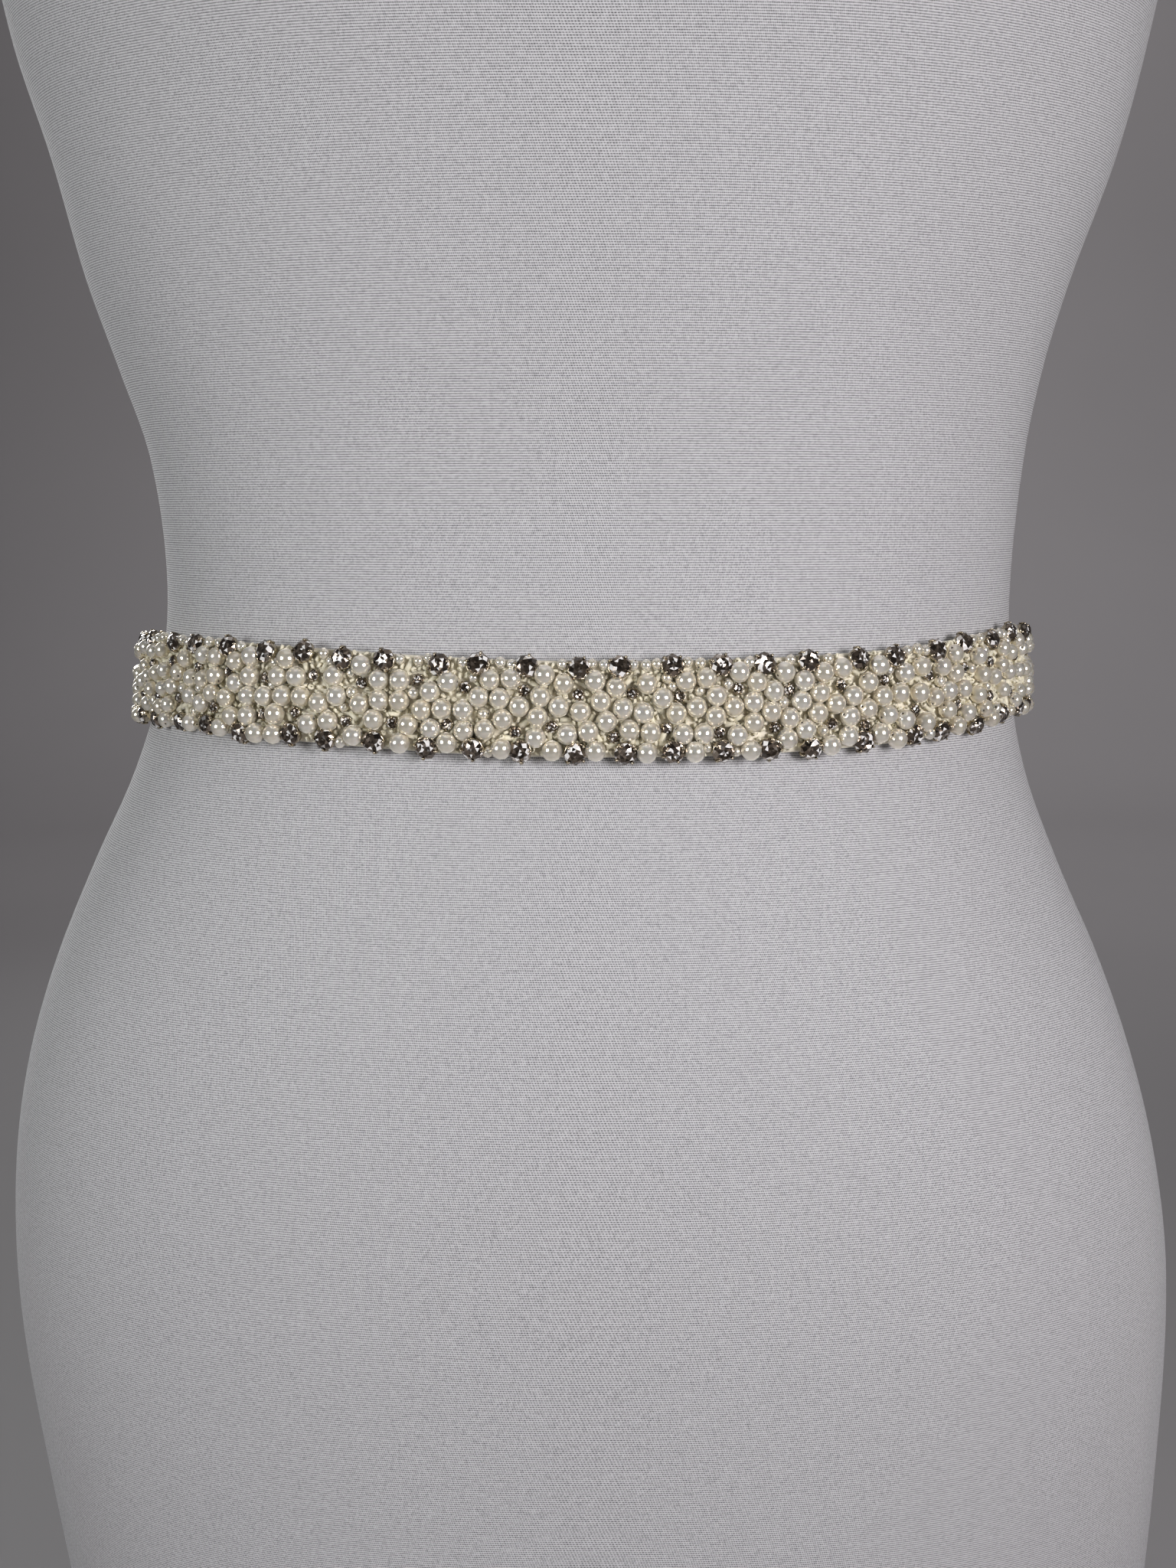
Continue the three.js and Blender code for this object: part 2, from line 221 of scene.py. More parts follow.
def form_ring(angles, level, inset=0):
    """Points of the form's surface at one level, in the given directions round it."""
    left, right, front, back = (
        value_at(FORM_SECTIONS, side, level) - inset for side in ("left", "right", "front", "back")
    )
    rise = ((level - BUST_LEVEL) / BUST_HALF_HEIGHT) ** 2
    ring = []
    for angle in angles:
        c, s = math.cos(angle), math.sin(angle)
        x = math.copysign(abs(c) ** (2 / SECTION_POWER), c) * (left if c < 0 else right)
        y = math.copysign(abs(s) ** (2 / SECTION_POWER), s) * (front if s < 0 else back)
        swell = sum(
            BUST_SWELL * math.exp(-(((x - side * BUST_SIDE) / BUST_HALF_WIDTH) ** 2) - rise)
            for side in (-1, 1)
        )
        ring.append((x, y + min(s, 0) * swell, level))
    return ring


def form_rings():
    """Rings of the whole form, with a rounded edge at the foot and at the neck's top."""
    angles = [math.pi / 2 + i * TURN / FORM_POINTS for i in range(FORM_POINTS)]
    roof = FORM_SECTIONS[-1].level
    bends = [k / FORM_EDGE_STEPS * math.pi / 2 for k in range(FORM_EDGE_STEPS + 1)]
    edge = [(FORM_EDGE * (1 - math.sin(b)), FORM_EDGE * (1 - math.cos(b))) for b in bends]
    steps = round((roof - 2 * FORM_EDGE) / FORM_STEP)
    spacing = (roof - 2 * FORM_EDGE) / steps
    low = [form_ring(angles, rise, inset) for inset, rise in edge]
    middle = [form_ring(angles, FORM_EDGE + k * spacing) for k in range(1, steps)]
    high = [form_ring(angles, roof - rise, inset) for inset, rise in reversed(edge)]
    return low + middle + high


# Line of the sash


def sash_level(angle):
    """Height of the sash's middle in a direction round the form."""
    return SASH_LEVEL + value_at(SASH_LIFTS, "lift", math.degrees(angle - FRONT))


class SashPath:
    """Inner line of the sash, along its middle. The cloth's lower edge lies on the form and its upper
    edge stands off a little. Distance along the line is counted from centre front, to the right."""

    def __init__(self):
        middles, rises = [], []
        for i in range(PATH_SAMPLES):
            angle = FRONT + (i - PATH_SAMPLES / 2) * TURN / PATH_SAMPLES
            level = sash_level(angle)
            low, high = (
                Vector(form_ring([angle], level + side * STRIP_WIDTH / 2)[0]) for side in (-1, 1)
            )
            upright = Vector((low.x, low.y, high.z))
            rises.append((upright.lerp(high, SASH_LEAN) - low).normalized())
            middles.append(low + rises[-1] * STRIP_WIDTH / 2)
        self.line = []
        for i, (middle, rise) in enumerate(zip(middles, rises)):
            ahead = middles[(i + 1) % PATH_SAMPLES] - middles[i - 1]
            out = ahead.cross(rise).normalized()
            self.line.append((middle + out * FORM_CLEARANCE, rise, out))
        self.line.append(self.line[0])
        self.at = [0.0]
        for (a, *_), (b, *_) in zip(self.line, self.line[1:]):
            self.at.append(self.at[-1] + (b - a).length)
        self.length = self.at[-1]
        start = self.at[PATH_SAMPLES // 2]
        self.at = [value - start for value in self.at]
        self.back = self.at[-1]

    def place(self, along):
        """Place on the line at a distance along it, with the cloth's way up and its way out there."""
        first = self.at[0]
        at = (along - first) % self.length + first
        low = min(max(bisect.bisect_right(self.at, at) - 1, 0), PATH_SAMPLES - 1)
        t = (at - self.at[low]) / (self.at[low + 1] - self.at[low])
        return [p.lerp(q, t) for p, q in zip(self.line[low], self.line[low + 1])]

    def point(self, along, up, out):
        middle, rise, outward = self.place(along)
        return middle + rise * up + outward * out

    def outward(self, along):
        return self.place(along)[2].normalized()


PATH = SashPath()


# Places of the beads


class Bead:
    def __init__(self, kind, along, up, radius):
        self.kind, self.along, self.up, self.radius = kind, along, up, radius


class RandomNumbers:
    """Repeatable random numbers from 0 to 1."""

    def __init__(self, seed):
        self.state = seed

    def __call__(self):
        self.state = (self.state * 1664525 + 1013904223) & 0xFFFFFFFF
        return self.state / 4294967296

    def spread(self, reach):
        return (self() * 2 - 1) * reach

    def between(self, low, high):
        return low + self() * (high - low)


def graded(size, along):
    """Size of a bead at a distance along the strip."""
    share = (abs(along) - TAPER_FROM) / (TAPER_TO - TAPER_FROM)
    return size.front + (size.side - size.front) * min(max(share, 0), 1)


def large_beads():
    """Loose rows of stones, then pearls pushed in between them."""
    random = RandomNumbers(LAYOUT_SEED)
    beads = []
    half = STRIP_LENGTH / 2
    room = half - PEARL_RADIUS.side
    for row in STONE_ROWS:
        sizes = STONE_RADIUS if row.kind == "stone" else SMALL_STONE_RADIUS
        s = row.first - half
        while s < room:
            along = s + random.spread(row.wander)
            up = row.across + random.spread(row.stray)
            beads.append(Bead(row.kind, along, up, graded(sizes, along)))
            s += row.pitch
    for _ in range(PEARL_TRIES):
        along = random.spread(room)
        up = random.between(*PEARL_BAND)
        radius = graded(PEARL_RADIUS, along)
        spacing = graded(PEARL_SPACING, along)
        if all(
            (b.along - along) * (b.along - along) + (b.up - up) * (b.up - up)
            > ((b.radius + radius) * spacing) * ((b.radius + radius) * spacing)
            for b in beads
        ):
            beads.append(Bead("pearl", along, up, radius))
    settle(beads, room)
    return beads


def settle(beads, room):
    """Pushes beads that overlap apart, a little at a time. Stones hold their place more than pearls."""
    pairs = [
        (a, b)
        for i, a in enumerate(beads)
        for b in beads[i + 1 :]
        if (a.along - b.along) * (a.along - b.along) + (a.up - b.up) * (a.up - b.up)
        < NEIGHBOUR_REACH * NEIGHBOUR_REACH
    ]
    give = {"pearl": 1, "stone": STONE_GIVE, "small_stone": STONE_GIVE}
    for _ in range(SETTLE_STEPS):
        for a, b in pairs:
            ds = b.along - a.along
            dv = b.up - a.up
            apart = math.sqrt(ds * ds + dv * dv)
            overlap = (a.radius + b.radius) * TIGHTNESS - apart
            if overlap <= 0 or apart == 0:
                continue
            push = (overlap * STIFFNESS) / (apart * (give[a.kind] + give[b.kind]))
            a.along -= ds * push * give[a.kind]
            a.up -= dv * push * give[a.kind]
            b.along += ds * push * give[b.kind]
            b.up += dv * push * give[b.kind]
        for bead in beads:
            bead.along = min(max(bead.along, -room), room)
            low, high = PEARL_BAND if bead.kind == "pearl" else STONE_BAND
            bead.up = min(max(bead.up, low), high)


BEADS = large_beads()


# Beads that fill the gaps


def gap_beads(filling, largest, beads):
    """Beads thrown at random and kept where they only touch those already sewn. Two beads that lie
    on one cloth touch when the square of their distance is four times the product of their radii."""
    random = RandomNumbers(filling.seed)
    placed = []
    cells = {}

    def cell(along, up):
        return int(along // NEIGHBOUR_REACH), int(up // NEIGHBOUR_REACH)

    def near(along, up):
        i, j = cell(along, up)
        for a in (i - 1, i, i + 1):
            for b in (j - 1, j, j + 1):
                yield from cells.get((a, b), ())

    for bead in beads:
        cells.setdefault(cell(bead.along, bead.up), []).append(bead)
    for _ in range(filling.tries):
        radius = largest * random.between(*filling.sizes)
        along = random.spread(filling.reach)
        up = random.between(*filling.band)
        if all(
            (b.along - along) ** 2 + (b.up - up) ** 2 > filling.contact * 4 * b.radius * radius
            for b in near(along, up)
        ):
            bead = Bead(filling.kind, along, up, radius)
            placed.append(bead)
            cells.setdefault(cell(along, up), []).append(bead)
    return placed


# Small helpers for meshes, nodes and attributes


def new_piece(name, points, faces, material=None, smooth=True):
    """Object at the origin with its place in its mesh, from points in millimetres."""
    mesh = bpy.data.meshes.new(name)
    mesh.from_pydata([Vector(p) * MM for p in points], [], faces)
    if material:
        mesh.materials.append(material)
    mesh.polygons.foreach_set("use_smooth", [smooth] * len(mesh.polygons))
    mesh.update()
    piece = bpy.data.objects.new(name, mesh)
    bpy.context.collection.objects.link(piece)
    return piece


def add_values(mesh, name, kind, domain, values):
    """Named attribute on a mesh, one value for each point or face."""
    attribute = mesh.attributes.new(name, kind, domain)
    if kind == "FLOAT_VECTOR":
        attribute.data.foreach_set("vector", [c for v in values for c in v])
    else:
        attribute.data.foreach_set("value", values)


def add_uv(mesh, places):
    """UV map in metres, from one place for each corner of each face."""
    layer = mesh.uv_layers.new(name=CLOTH_MAP)
    layer.data.foreach_set("uv", [c * MM for place in places for c in place])


def add_node(tree, kind, inputs=(), **settings):
    """Node with its settings made and its inputs set, or linked where a value is a socket."""
    node = tree.nodes.new(kind)
    for name, value in settings.items():
        setattr(node, name, value)
    for key, value in dict(inputs).items():
        if isinstance(value, bpy.types.NodeSocket):
            tree.links.new(value, node.inputs[key])
        else:
            node.inputs[key].default_value = value
    return node


def calculate(tree, operation, *values, clamp=False):
    """Output of a Math node."""
    inputs = dict(enumerate(values))
    return add_node(tree, "ShaderNodeMath", inputs, operation=operation, use_clamp=clamp).outputs[0]


def colour_steps(tree, share, steps):
    """Colour by a share that varies over the surface, from steps of share and colour."""
    ramp = add_node(tree, "ShaderNodeValToRGB", {"Fac": share})
    elements = ramp.color_ramp.elements
    while len(elements) < len(steps):
        elements.new(0.5)
    for element, (place, colour) in zip(elements, steps):
        element.position = place
        element.color = (*colour, 1)
    return ramp.outputs["Color"]


def paint(tree, shader, share, *steps):
    """Colours a shader by a share that varies over the surface."""
    tree.links.new(colour_steps(tree, share, steps), shader.inputs["Base Color"])


def cloth_turns(tree, across, along):
    """Phases that turn once for each given length across and along the cloth."""
    place = add_node(tree, "ShaderNodeUVMap", uv_map=CLOTH_MAP).outputs["UV"]
    split = add_node(tree, "ShaderNodeSeparateXYZ", {"Vector": place}).outputs
    lengths = (("X", across), ("Y", along))
    return [calculate(tree, "MULTIPLY", split[axis], TURN / length) for axis, length in lengths]


def darker(share, colour):
    return [share * c for c in colour]


def attribute_value(tree, name):
    return add_node(tree, "ShaderNodeAttribute", attribute_name=name).outputs["Fac"]


def noise(tree, scale, detail=3.0):
    """Noise on the piece's own coordinates, in metres."""
    coords = add_node(tree, "ShaderNodeTexCoord").outputs["Object"]
    inputs = {"Vector": coords, "Scale": scale, "Detail": detail}
    return add_node(tree, "ShaderNodeTexNoise", inputs).outputs["Fac"]


def new_material(name, **sockets):
    """Material with a principled shader whose even values are set on its own sockets."""
    material = bpy.data.materials.new(name)
    material.use_nodes = True
    shader = material.node_tree.nodes["Principled BSDF"]
    for key, value in sockets.items():
        shader.inputs[key.replace("_", " ").title().replace("Ior", "IOR")].default_value = value
    return material, material.node_tree, shader


def add_bump(tree, shader, height, distance, strength):
    """Bump of a real height on a shader."""
    inputs = {"Height": height, "Distance": distance * MM, "Strength": strength}
    bump = add_node(tree, "ShaderNodeBump", inputs)
    tree.links.new(bump.outputs["Normal"], shader.inputs["Normal"])


# Sizes and colours that a user would change


def colour_property(name, description, default):
    return bpy.props.FloatVectorProperty(
        name=name, description=description, default=default, subtype="COLOR", min=0, max=1
    )


def number_property(name, description, default, **settings):
    return bpy.props.FloatProperty(name=name, description=description, default=default, **settings)


def length_property(name, description, default):
    return number_property(name, description, default * MM, min=0, precision=5, unit="LENGTH")


class FormSettings(bpy.types.PropertyGroup):
    cover: colour_property("Cover", "Colour of the jersey", (0.635, 0.635, 0.648))
    # the shade colour is painted shade: the white yarn drawn dark where it dips between stitches
    shade: colour_property("Shade", "Colour between the knit stitches", (0.06, 0.06, 0.064))
    course: length_property("Course", "Height of one row of knit stitches", 0.71)
    wale: length_property("Wale", "Width of one knit stitch at the waist", 0.42)


class SashSettings(bpy.types.PropertyGroup):
    satin: colour_property("Satin", "Colour of the strip and the ribbons", (0.93, 0.87, 0.71))
    thread: colour_property("Thread", "Colour of the sewing thread", (0.74, 0.69, 0.56))
    stitch_pitch: length_property("Stitch pitch", "Distance from stitch to stitch", 2.6)
    stitch_length: length_property("Stitch length", "Length of one stitch that shows", 2.2)


class BeadSettings(bpy.types.PropertyGroup):
    pearl: colour_property("Pearl", "Colour of the whiter pearls", (0.89, 0.86, 0.77))
    pearl_shade: colour_property("Pearl shade", "Colour of the creamier pearls", (0.87, 0.8, 0.64))
    glass: colour_property("Seed beads", "Colour of the small beads in the gaps", (0.96, 0.91, 0.71))
    setting: colour_property("Settings", "Colour of the stones' metal cups", (0.66, 0.58, 0.44))
    # colour of the facets painted bright, as painted glints
    stone_painted_glint: colour_property("Stone glint", "Colour of a stone's bright facets", (0.95, 0.94, 0.92))
    small_pearl: length_property("Small pearl", "Largest radius of the small pearls in the gaps", 1.95)
    seed_bead: length_property("Seed bead", "Largest radius of the seed beads", 1.15)
    glass_tube: length_property("Glass tube", "Largest radius of the glass tubes", 0.95)


class StageSettings(bpy.types.PropertyGroup):
    floor: colour_property("Floor", "Colour of the floor and the backdrop", (0.4, 0.39, 0.395))
    camera_distance: length_property("Camera distance", "From the form's axis, level", 670.4)
    camera_height: length_property("Camera height", "Above the floor", 406.4)
    camera_tilt: number_property(
        "Camera tilt", "How far the camera looks down", math.radians(7.753), subtype="ANGLE"
    )
    softbox_power: number_property(
        "Softbox power", "Light that the shares are parts of", 3.2, min=0, unit="POWER"
    )


# Finishes


def jersey(settings):
    """Fine matte jersey: level rows of small stitches, with painted shade where the yarn dips between
    them, and a little unevenness in the yarn.
    """
    material, tree, shader = new_material(
        "jersey", roughness=0.9, sheen_weight=0.2, sheen_roughness=0.5, specular_ior_level=0.2
    )
    sharpness, lean, stitch_depth, yarn_scale = 1.4, 0.3, 0.35, 1500
    wale, course = cloth_turns(tree, settings.wale, settings.course)
    row = calculate(tree, "MULTIPLY_ADD", calculate(tree, "COSINE", course), 0.5, 0.5)
    slant = calculate(tree, "COSINE", calculate(tree, "MULTIPLY_ADD", course, lean, wale))
    stitch = calculate(tree, "MULTIPLY_ADD", slant, stitch_depth, 1 - stitch_depth)
    gap_depth_and_shade = calculate(tree, "MULTIPLY", calculate(tree, "POWER", row, sharpness), stitch)
    height = calculate(tree, "SUBTRACT", 1.0, gap_depth_and_shade)
    yarn = calculate(tree, "SUBTRACT", noise(tree, yarn_scale), 0.5)
    share = calculate(tree, "ADD", height, yarn, clamp=True)
    # the dips between stitches make the bump and are also coloured dark here, as painted shade
    paint(tree, shader, share, (0, settings.shade), (1, settings.cover))
    add_bump(tree, shader, height, distance=0.12, strength=0.7)
    return material


def satin(name, colour, thread):
    """Satin with a soft sheen and fine threads in both directions."""
    material, tree, shader = new_material(
        name, roughness=0.36, sheen_weight=0.25, sheen_roughness=0.35, specular_ior_level=0.5
    )
    warp_share, mottle_scale = 0.35, 120
    turns = cloth_turns(tree, thread * MM, thread * MM)
    warp, weft = (calculate(tree, "SINE", turn) for turn in turns)
    weave = calculate(tree, "MULTIPLY_ADD", warp, warp_share, weft)
    paint(tree, shader, noise(tree, mottle_scale), (0.3, darker(0.93, colour)), (0.7, colour))
    add_bump(tree, shader, weave, distance=0.04, strength=0.4)
    return material


def nacre(settings):
    """Pearl coat: glossy and a little mirror-like, pale at the edges, with painted shade in its drilled
    hole.
    """
    material, tree, shader = new_material(
        "pearl",
        metallic=0.66,
        roughness=0.19,
        ior=1.6,
        coat_weight=0.35,
        coat_roughness=0.08,
        coat_ior=1.7,
        sheen_weight=1.0,
        sheen_roughness=0.35,
        thin_film_thickness=330.0,
        thin_film_ior=1.4,
        sheen_tint=(1.0, 0.96, 0.83, 1),
        subsurface_weight=0.5,
        subsurface_radius=(1.0, 0.9, 0.7),
        subsurface_scale=1.5 * MM,
    )
    tone_share, cloud_share, cloud_scale, hole_shade_strength = 0.6, 0.5, 400, 4.0
    tone = attribute_value(tree, "tone")
    body = calculate(tree, "MULTIPLY_ADD", tone, tone_share, 1 - tone_share)
    cloud = calculate(
        tree, "MULTIPLY_ADD", noise(tree, cloud_scale), cloud_share, -cloud_share / 2
    )
    # painted shade: the colour share is pushed down on the faces inside the drilled hole
    drilled = calculate(tree, "MULTIPLY", attribute_value(tree, "drilled"), hole_shade_strength)
    share = calculate(tree, "SUBTRACT", calculate(tree, "ADD", body, cloud), drilled, clamp=True)
    # the creamier pearl colour at a third, as painted shade inside the hole
    hole = darker(0.3, settings.pearl_shade)
    paint(tree, shader, share, (0, hole), (0.12, settings.pearl_shade), (1, settings.pearl))
    return material


def bead_glass(settings):
    """Cream glass of the seed beads and tubes, lit through a little."""
    material, tree, shader = new_material(
        "bead_glass",
        roughness=0.45,
        ior=1.45,
        coat_weight=0.12,
        coat_roughness=0.25,
        transmission_weight=0.05,
        sheen_weight=0.4,
    )
    share = calculate(tree, "ADD", attribute_value(tree, "tone"), noise(tree, scale=600))
    paint(tree, shader, share, (0.3, darker(0.7, settings.glass)), (1, settings.glass))
    return material


def cut_stone(settings):
    """Foiled cut glass: each facet is painted dark or bright, a painted reflection or a painted glint,
    different on every stone; the dark facets also mirror their surroundings.
    """
    material, tree, shader = new_material(
        "stone", roughness=0.06, ior=2.0, coat_weight=0.8, coat_roughness=0.02
    )
    painted_glint_from, mirror_share = 0.87, 0.85
    facet, tone = (attribute_value(tree, name) for name in ("facet", "tone"))
    share = calculate(tree, "FRACT", calculate(tree, "ADD", facet, tone))
    # each facet's colour is a painted reflection: dark browns for the dim room, paler browns, then
    # white painted glints in the top share
    paint(
        tree,
        shader,
        share,
        (0, (0.04, 0.03, 0.022)),
        (0.4, (0.12, 0.09, 0.065)),
        (0.6, (0.24, 0.185, 0.135)),
        (0.8, (0.45, 0.38, 0.31)),
        (0.88, settings.stone_painted_glint),
    )
    dark = calculate(tree, "LESS_THAN", share, painted_glint_from)
    tree.links.new(calculate(tree, "MULTIPLY", dark, mirror_share), shader.inputs["Metallic"])
    return material


def pale_gold(settings):
    """Plated metal of the settings, worn a little unevenly."""
    material, tree, shader = new_material("setting", metallic=1.0, coat_weight=0.1)
    wear_scale, least_roughness, wear_roughness = 900, 0.12, 0.2
    wear = noise(tree, wear_scale)
    paint(tree, shader, wear, (0.3, darker(0.45, settings.setting)), (0.7, settings.setting))
    roughness = calculate(tree, "MULTIPLY_ADD", wear, wear_roughness, least_roughness)
    tree.links.new(roughness, shader.inputs["Roughness"])
    return material


def sewing_thread(colour):
    """Twisted thread, painted darker in the grooves of its twist as painted shade."""
    material, tree, shader = new_material("thread", roughness=0.55, sheen_weight=0.3)
    coords = add_node(tree, "ShaderNodeTexCoord").outputs["Object"]
    inputs = {"Vector": coords, "Scale": 900.0, "Distortion": 1.0}
    twist = add_node(tree, "ShaderNodeTexWave", inputs).outputs["Fac"]
    # the twist's grooves are bumped in and also coloured darker: painted shade
    paint(tree, shader, twist, (0, darker(0.7, colour)), (1, colour))
    add_bump(tree, shader, twist, distance=0.05, strength=0.5)
    return material


def backdrop_paper(settings):
    """Pale studio paper."""
    material, tree, shader = new_material("backdrop", roughness=0.9, specular_ior_level=0.1)
    cloud_scale = 2.5
    steps = ((0.35, darker(0.97, settings.floor)), (0.65, settings.floor))
    paint(tree, shader, noise(tree, cloud_scale), *steps)
    return material


# Shapes of one bead, one stone and one setting for a radius of 1, and of one stitch


def circle(count, radius, height, start=0.0):
    angles = [start + i * TURN / count for i in range(count)]
    return [(radius * math.cos(a), radius * math.sin(a), height) for a in angles]


def bands(count, rings, first=0):
    """Faces between rings of points. They point outwards where the rings follow from the top down."""
    return [
        (a + j, b + j, b + (j + 1) % count, a + (j + 1) % count)
        for a, b in ((first + k * count, first + (k + 1) * count) for k in range(rings - 1))
        for j in range(count)
    ]


def pearl_shape(name, meridians, belts, hole):
    """Ball with a drilled hole along its axis, of which the two ends are made."""
    depth = 2.5 * hole
    rim = math.asin(hole)
    polar = [rim + k * (math.pi - 2 * rim) / belts for k in range(belts + 1)]
    points = [p for a in polar for p in circle(meridians, math.sin(a), math.cos(a))]
    faces = bands(meridians, belts + 1)
    skin = len(faces)
    last = len(points) - meridians
    points += [(0, 0, 1 - depth), (0, 0, depth - 1)]
    for j in range(meridians):
        after = (j + 1) % meridians
        faces.append((j, after, len(points) - 2))
        faces.append((last + after, last + j, len(points) - 1))
    shape = new_piece(name, points, faces)
    drilled = [i >= skin for i in range(len(faces))]
    shape.data.polygons.foreach_set("use_smooth", [not d for d in drilled])
    # marks the faces inside the hole, which the pearl finish paints dark as painted shade
    add_values(shape.data, "drilled", "FLOAT", "FACE", drilled)
    return shape


def seed_shape(name, sides=9, tube_sides=4, tube=0.42, swell=1.25):
    """Small ring-shaped bead."""
    points = []
    for k in range(tube_sides):
        turn = math.pi / 4 + k * TURN / tube_sides
        points += circle(sides, 1 - tube + tube * math.cos(turn), swell * tube * math.sin(turn))
    faces = [
        (k * sides + j, k * sides + i, n * sides + i, n * sides + j)
        for k, n in ((k, (k + 1) % tube_sides) for k in range(tube_sides))
        for j, i in ((j, (j + 1) % sides) for j in range(sides))
    ]
    return new_piece(name, points, faces)


def tube_shape(name, sides=6, length=3.6, bore=0.55):
    """Glass tube."""
    half = length / 2
    points = [
        p
        for radius, height in ((1, half), (1, -half), (bore, -half), (bore, half))
        for p in circle(sides, radius, height)
    ]
    faces = bands(sides, 4)
    faces += [(3 * sides + j, j, (j + 1) % sides, 3 * sides + (j + 1) % sides) for j in range(sides)]
    shape = new_piece(name, points, faces)
    flat = [face_index // sides in (1, 3) for face_index in range(len(faces))]
    shape.data.polygons.foreach_set("use_smooth", [not f for f in flat])
    return shape


def stone_shape(name, sides=8):
    """Round cut stone: table, star, kite and girdle facets above, a point below. The table is cut
    up into parts that each carry a painted reflection, as the facets under it would show through it."""
    half = TURN / sides / 2
    table, crown, under, girdle = (0.58, 1.42), (0.82, 1.27), (0.3, 1.38), (1, 1.0)  # radius, height
    points = circle(sides, *table) + circle(sides, *crown, half)
    points += circle(sides, *under, half) + circle(2 * sides, *girdle)
    points += [(0, 0, 1.41), (0, 0, 0.2)]
    centre, culet = len(points) - 2, len(points) - 1
    faces = []
    for i in range(sides):
        after = (i + 1) % sides
        shoulder, last_shoulder = sides + i, sides + (i - 1) % sides
        inner, last_inner = 2 * sides + i, 2 * sides + (i - 1) % sides
        corner, edge, far = (3 * sides + k for k in (2 * i, 2 * i + 1, 2 * after))
        faces += [(inner, centre, last_inner), (i, after, inner), (last_inner, i, inner)]
        faces += [(i, shoulder, after), (i, last_shoulder, corner, shoulder)]
        faces += [(shoulder, corner, edge), (shoulder, edge, far)]
        faces += [(edge, corner, culet), (far, edge, culet)]
    shape = face_outwards(new_piece(name, points, faces, smooth=False))
    random = RandomNumbers(FACET_SEED)
    # a random share for each facet, which the stone finish turns into painted reflections and glints
    add_values(shape.data, "facet", "FLOAT", "FACE", [random() for _ in faces])
    return shape


def setting_shape(name, sides=8, claws=4):
    """Metal cup with claws that hold a stone's edge."""
    profile = ((0.94, 0.9), (1.07, 0.98), (1.05, 0.55), (0.8, 0.0))
    points = [p for radius, height in profile for p in circle(sides, radius, height)]
    faces = bands(sides, len(profile))
    claw = ((1.08, 0.5, 0.1), (1.08, 1.0, 0.11), (1.0, 1.2, 0.1), (0.84, 1.31, 0.07))
    flatness = 0.7
    for k in range(claws):
        turn = Matrix.Rotation((k + 0.5) * TURN / claws, 3, "Z")
        first = len(points)
        for n, (out, height, half) in enumerate(claw):
            before, after = claw[max(n - 1, 0)], claw[min(n + 1, len(claw) - 1)]
            ahead = Vector(after[:2]) - Vector(before[:2])
            tilt = Vector((ahead.y, -ahead.x)).normalized() * half * flatness
            for side, sign in ((-1, -1), (1, -1), (1, 1), (-1, 1)):
                p = Vector((out + tilt.x * sign, side * half, height + tilt.y * sign))
                points.append(tuple(turn @ p))
        faces += bands(4, len(claw), first)
        faces += [tuple(range(start, start + 4)) for start in (first, len(points) - 4)]
    return face_outwards(new_piece(name, points, faces))


def stitch_shape(name, length, sides=5):
    """One stitch that rises from the cloth and dips back into it, along X."""
    radius, rise = 0.2, 0.22
    points = []
    steps = ((-0.5, -0.35, 0.6), (-0.42, 0.5, 1), (0, 1, 1.1), (0.42, 0.5, 1), (0.5, -0.35, 0.6))
    for share, lift, width in steps:
        for j in range(sides):
            turn = j * TURN / sides
            y = radius * width * math.cos(turn)
            points.append((share * length, y, rise * lift + radius * width * math.sin(turn)))
    faces = bands(sides, len(steps))
    faces += [tuple(range(sides)), tuple(reversed(range(len(points) - sides, len(points))))]
    return face_outwards(new_piece(name, points, faces))


def face_outwards(piece):
    """Turns every closed shell of a piece so that its faces point outwards."""
    shell = bmesh.new()
    shell.from_mesh(piece.data)
    bmesh.ops.recalc_face_normals(shell, faces=shell.faces)
    shell.to_mesh(piece.data)
    shell.free()
    return piece


# Node trees that sew the shapes on


def new_tree(name, **inputs):
    """Geometry Nodes tree with named inputs and one output."""
    tree = bpy.data.node_groups.new(name, "GeometryNodeTree")
    for label, kind in inputs.items():
        tree.interface.new_socket(label, in_out="INPUT", socket_type="NodeSocket" + kind)
    tree.interface.new_socket("Geometry", in_out="OUTPUT", socket_type="NodeSocketGeometry")
    return tree, tree.nodes.new("NodeGroupInput").outputs, tree.nodes.new("NodeGroupOutput")


def random_value(tree, low, high, seed):
    inputs = {2: low, 3: high, "Seed": seed}
    return add_node(tree, "FunctionNodeRandomValue", inputs, data_type="FLOAT").outputs[1]


def stored(tree, name, kind):
    inputs = {"Name": name}
    return add_node(tree, "GeometryNodeInputNamedAttribute", inputs, data_type=kind).outputs[0]


def sew_on(tree, given, result, points, rotation, **inputs):
    """The given shape on every point, each with a random tone, as plain mesh with its finish."""
    shape = add_node(tree, "GeometryNodeObjectInfo", {"Object": given["shape"]})
    inputs |= {"Points": points, "Instance": shape.outputs["Geometry"], "Rotation": rotation}
    instances = add_node(tree, "GeometryNodeInstanceOnPoints", inputs).outputs[0]
    tone = random_value(tree, 0.0, 1.0, calculate(tree, "ADD", given["seed"], 2.0))
    inputs = {"Geometry": instances, "Name": "tone", "Value": tone}
    toned = add_node(
        tree, "GeometryNodeStoreNamedAttribute", inputs, data_type="FLOAT", domain="INSTANCE"
    )
    plain = add_node(tree, "GeometryNodeRealizeInstances", {"Geometry": toned.outputs[0]})
    inputs = {"Geometry": plain.outputs[0], "Material": given["finish"]}
    finished = add_node(tree, "GeometryNodeSetMaterial", inputs)
    tree.links.new(finished.outputs[0], result.inputs[0])
    return tree


